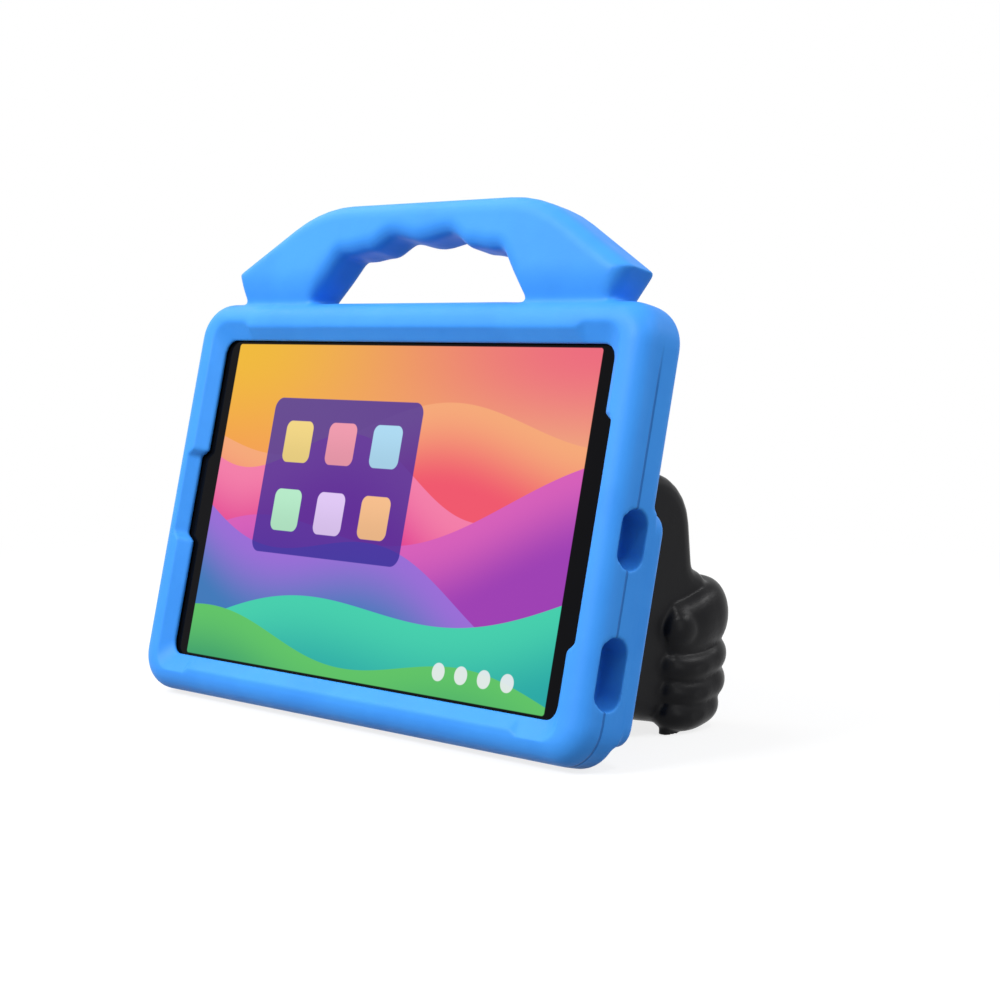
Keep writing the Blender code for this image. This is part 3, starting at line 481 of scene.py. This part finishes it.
def mesh_of(bm, name):
    """The finished mesh of a bmesh, which ends with it."""
    mesh = bpy.data.meshes.new(name)
    bm.to_mesh(mesh)
    bm.free()
    return mesh


def evaluated(obj):
    """The mesh that an object's curve or modifiers make."""
    graph = bpy.context.evaluated_depsgraph_get()
    return bpy.data.meshes.new_from_object(obj.evaluated_get(graph))


def applied(obj):
    """Turns the piece's modifiers into its mesh."""
    obj.data = evaluated(obj)
    obj.modifiers.clear()


def points_of(mesh):
    flat = np.empty(len(mesh.vertices) * 3)
    mesh.vertices.foreach_get("co", flat)
    return flat.reshape(-1, 3)


def move_points(mesh, points):
    mesh.vertices.foreach_set("co", points.ravel())
    mesh.update()


def remeshed(node, name, voxel, extras=()):
    """A fine, even copy of a CAD node's mesh and closed meshes added to it, run into one.
    It is made in the case's own axes, where the node's faces lie flat."""
    turn = Matrix.Rotation(LEAN, 4, "X")
    bm = bmesh.new()
    for part in (frame["nodes"][node].data, *extras):
        bm.from_mesh(part)
    obj = added(name, mesh_of(bm, name))
    obj.data.transform(turn)
    remesh = obj.modifiers.new("even mesh", "REMESH")
    remesh.mode = "VOXEL"
    remesh.voxel_size = voxel
    applied(obj)
    obj.data.transform(turn.inverted())
    obj.data.materials.clear()
    return obj


def thinned(obj, triangles):
    """Merges the points that the flat places don't need, down to this many triangles."""
    thin = obj.modifiers.new("thin", "DECIMATE")
    thin.ratio = min(1.0, triangles / (2 * len(obj.data.polygons)))
    applied(obj)


def relax(mesh, weight, rounds):
    """Moves each point towards the middle of its neighbours, by its own weight, for some rounds."""
    points = points_of(mesh)
    pairs = np.empty(len(mesh.edges) * 2, dtype=np.int64)
    mesh.edges.foreach_get("vertices", pairs)
    first, second = pairs.reshape(-1, 2).T
    count = len(points)
    degree = np.bincount(first, minlength=count) + np.bincount(second, minlength=count)
    for _ in range(rounds):
        middle = np.empty_like(points)
        for axis in range(3):
            total = np.bincount(first, points[second, axis], count)
            total += np.bincount(second, points[first, axis], count)
            middle[:, axis] = total / degree
        points += (middle - points) * weight[:, None]
    move_points(mesh, points)


def eased(value, low, high):
    """Goes smoothly from nought at low to one at high."""
    share = np.clip((value - low) / (high - low), 0, 1)
    return share * share * (3 - 2 * share)


def in_case_axes(points):
    """The points' places to the right, back and up in the case, from the middle of the screen."""
    offset = points - np.array(CENTRE)
    return offset @ np.array(RIGHT), offset @ np.array(BACK), offset @ np.array(UP)


def level_band(mesh):
    """Brings the ends of the band across the back out level with the frame's walls."""
    points = points_of(mesh)
    x, depth, z = in_case_axes(points)
    past_round = np.clip(depth - FRAME_BACK + REAR_ROUND, 0, REAR_ROUND)
    fall = REAR_ROUND - np.sqrt(REAR_ROUND ** 2 - past_round ** 2)
    below = np.clip(FRAME_BOTTOM + FRAME_CORNER - z, 0, FRAME_CORNER)
    wall = FRAME_HALF_WIDTH - FRAME_CORNER + np.sqrt(FRAME_CORNER ** 2 - below ** 2)
    out = np.minimum(np.minimum(fall, BAND_INSET), np.clip(wall - np.abs(x), 0, None))
    out *= eased(np.abs(x), *BAND_FADE_X)
    out *= eased(z, *BAND_FADE_TOP) * eased(z, *BAND_FADE_BOTTOM)
    points[:, 0] += np.sign(x) * out
    move_points(mesh, points)


def kept_inside(obj, low, high):
    """Holds the piece's points within its node's own box."""
    move_points(obj.data, np.clip(points_of(obj.data), np.array(low), np.array(high)))


def foam_case():
    """The blue moulding, its creases eased as a mould leaves them."""
    obj = remeshed("foam_case", "foam_moulding", FOAM_VOXEL)
    level_band(obj.data)
    x, _, z = in_case_axes(points_of(obj.data))
    legs = np.clip((np.abs(x) - GRIP_FOOT_X + FOOT_LEAD) / FOOT_FADE, 0, 1)
    foot = np.exp(-(((z - FRAME_TOP) / FOOT_HEIGHT) ** 2)) * legs
    relax(obj.data, CREASE_SHARE + FOOT_SHARE * foot, CREASE_ROUNDS)
    relax(obj.data, FOOT_LATE_SHARE * foot, FOOT_LATE_ROUNDS)
    thinned(obj, FOAM_TRIANGLES)
    kept_inside(obj, FOAM_LOW, FOAM_HIGH)
    dressed(obj, "foam_case", foam_blue())


def finger(way, radius, stretch=1.0):
    """A smooth tube through (x, y, z, share of radius) points, as a mesh.
    A stretch makes its section that much taller than it is wide."""
    level = way[-1][2]
    curve = bpy.data.curves.new("finger", "CURVE")
    curve.dimensions = "3D"
    curve.bevel_depth = radius
    curve.bevel_resolution = TUBE_ROUNDING
    curve.resolution_u = TUBE_STEPS
    curve.use_fill_caps = True
    spline = curve.splines.new("BEZIER")
    spline.bezier_points.add(len(way) - 1)
    for place, (x, y, z, share) in zip(spline.bezier_points, way):
        place.co = (x, y, level + (z - level) / stretch)
        place.radius = share
        place.handle_left_type = place.handle_right_type = "AUTO"
    obj = added("finger", curve)
    bpy.context.view_layer.update()
    mesh = evaluated(obj)
    bpy.data.objects.remove(obj)
    points = points_of(mesh)
    points[:, 2] = level + (points[:, 2] - level) * stretch
    move_points(mesh, points)
    return mesh


def ball(place, size):
    """A ball stretched to these half sizes, as a mesh."""
    bm = bmesh.new()
    matrix = Matrix.Translation(place) @ Matrix.Diagonal((*size, 1.0))
    across, upward = BALL_FACETS
    bmesh.ops.create_uvsphere(bm, u_segments=across, v_segments=upward, radius=1.0, matrix=matrix)
    return mesh_of(bm, "ball")


def fingers(side):
    """The four fingers' smooth forms and the round tips that they end in."""
    def at(x, y, z):
        return CENTRE + Vector((side * (HAND_OUTER + x), y, z))

    made = [finger([(*at(x, y, z), share) for x, y, z, share in INDEX_WAY], INDEX_RADIUS, INDEX_STRETCH)]
    made.append(ball(at(*FINGERTIP), FINGERTIP_SIZE))
    last = len(FINGER_WAY) - 1
    for level, sag, set_back in KNUCKLES:
        way = [
            (*at(x, y + set_back * place / last, level - sag * droop), share)
            for place, (x, y, droop, share) in enumerate(FINGER_WAY)
        ]
        made.append(finger(way, FINGER_RADIUS))
        x, y, droop, _ = FINGER_WAY[1]
        made.append(ball(at(x - TIP_INSET, y, level - sag * droop), [TIP_SHARE * FINGER_RADIUS] * 3))
    return made


def stand_hand(word, side, material):
    """A stand, its fingers run softly into each other."""
    node = f"stand_hand_{word}"
    obj = remeshed(node, f"fist_stand_{word}", STAND_VOXEL, fingers(side))
    height = points_of(obj.data)[:, 2]
    relax(obj.data, STAND_SHARE * eased(height, *STAND_FADE), STAND_ROUNDS)
    thinned(obj, STAND_TRIANGLES)
    kept_inside(obj, *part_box(node))
    dressed(obj, node, material)


def dressed(obj, node, material):
    """Puts a piece in its node's place, with its material and slot."""
    obj.data.materials.append(material)
    obj.data.shade_smooth()
    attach(obj, "root")
    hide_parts(node)


def give(material, *nodes):
    """A better material for CAD nodes that stay."""
    for node in nodes:
        for place in frame["nodes"][node].material_slots:
            place.material = material


def pieces():
    foam_case()
    black = stand_black()
    stand_hand("right", 1, black)
    stand_hand("left", -1, black)
    give(metal_bright(), "charging_socket", "audio_socket", "camera_rim")
    give(glass_black(), "tablet_glass")
    give(shell_black(), "tablet_shell")
    give(screen_stack(), "screen_panel")
    give(speaker_mesh(), "speaker")
    give(lens_dark(), "camera_lens")
    give(battery_grey(), "battery")
    give(board_green(), "main_board")


def ray_white(nodes, links):
    """One for camera, glossy and transmission rays, and nought for the light that falls on things."""
    path = nodes.new("ShaderNodeLightPath")
    total = path.outputs["Is Camera Ray"]
    for name in ("Is Glossy Ray", "Is Transmission Ray"):
        add = nodes.new("ShaderNodeMath")
        add.operation = "MAXIMUM"
        links.new(total, add.inputs[0])
        links.new(path.outputs[name], add.inputs[1])
        total = add.outputs[0]
    return total


def world():
    """White where it is seen or mirrored, and a soft grey-white fill for everything else."""
    made = bpy.data.worlds.new("studio")
    bpy.context.scene.world = made
    made.use_nodes = True
    nodes, links = made.node_tree.nodes, made.node_tree.links
    background = nodes["Background"]
    background.inputs["Color"].default_value = (1, 1, 1, 1)
    strength = nodes.new("ShaderNodeMapRange")
    strength.inputs["To Min"].default_value = AMBIENT
    strength.inputs["To Max"].default_value = 1.0
    links.new(ray_white(nodes, links), strength.inputs["Value"])
    links.new(strength.outputs["Result"], background.inputs["Strength"])


def floor():
    """A pale floor that keeps the object's shadow near it, and is plain white further out."""
    bm = bmesh.new()
    bmesh.ops.create_circle(bm, cap_ends=True, radius=2 * FLOOR_REACH[1], segments=FLOOR_SIDES)
    obj = added("floor", mesh_of(bm, "floor"))
    graph = Graph("floor_pale")
    nodes, links = graph.tree.nodes, graph.tree.links
    far = graph.node("ShaderNodeVectorMath", {0: graph.place()}, operation="LENGTH").outputs["Value"]
    pale = graph.between(far, *FLOOR_REACH, start=FLOOR_PALE, end=0.0)
    glow = graph.between(far, *FLOOR_REACH, start=FLOOR_GLOW, end=1.0)
    strength = graph.math("MULTIPLY", glow, ray_white(nodes, links))
    shade = graph.node("ShaderNodeBsdfDiffuse", {"Color": pale})
    light = graph.node("ShaderNodeEmission", {"Strength": strength})
    both = graph.node("ShaderNodeAddShader", {0: shade.outputs[0], 1: light.outputs[0]})
    links.new(both.outputs[0], nodes["Material Output"].inputs["Surface"])
    nodes.remove(graph.shader)
    obj.data.materials.append(graph.material)


def lights():
    for name, place, size, power in LAMPS:
        light = bpy.data.lights.new(name, "AREA")
        light.shape = "RECTANGLE"
        light.size, light.size_y = size
        light.energy = power
        obj = added(name, light)
        obj.location = place
        aim = LAMP_AIM - obj.location
        obj.rotation_euler = aim.to_track_quat("-Z", "Y").to_euler()


def camera():
    data = bpy.data.cameras.new("photo_view")
    data.lens = CAMERA_LENS
    data.sensor_width = CAMERA_SENSOR
    data.clip_start = CAMERA_NEAR
    obj = added("photo_view", data)
    obj.location = CENTRE + CAMERA_FROM_CENTRE
    look = Vector((
        -math.sin(CAMERA_AZIMUTH) * math.cos(CAMERA_ELEVATION),
        math.cos(CAMERA_AZIMUTH) * math.cos(CAMERA_ELEVATION),
        -math.sin(CAMERA_ELEVATION),
    ))
    obj.rotation_euler = look.to_track_quat("-Z", "Y").to_euler()
    bpy.context.scene.camera = obj


pieces()
floor()
world()
lights()
camera()
bpy.context.scene.view_settings.view_transform = "Standard"
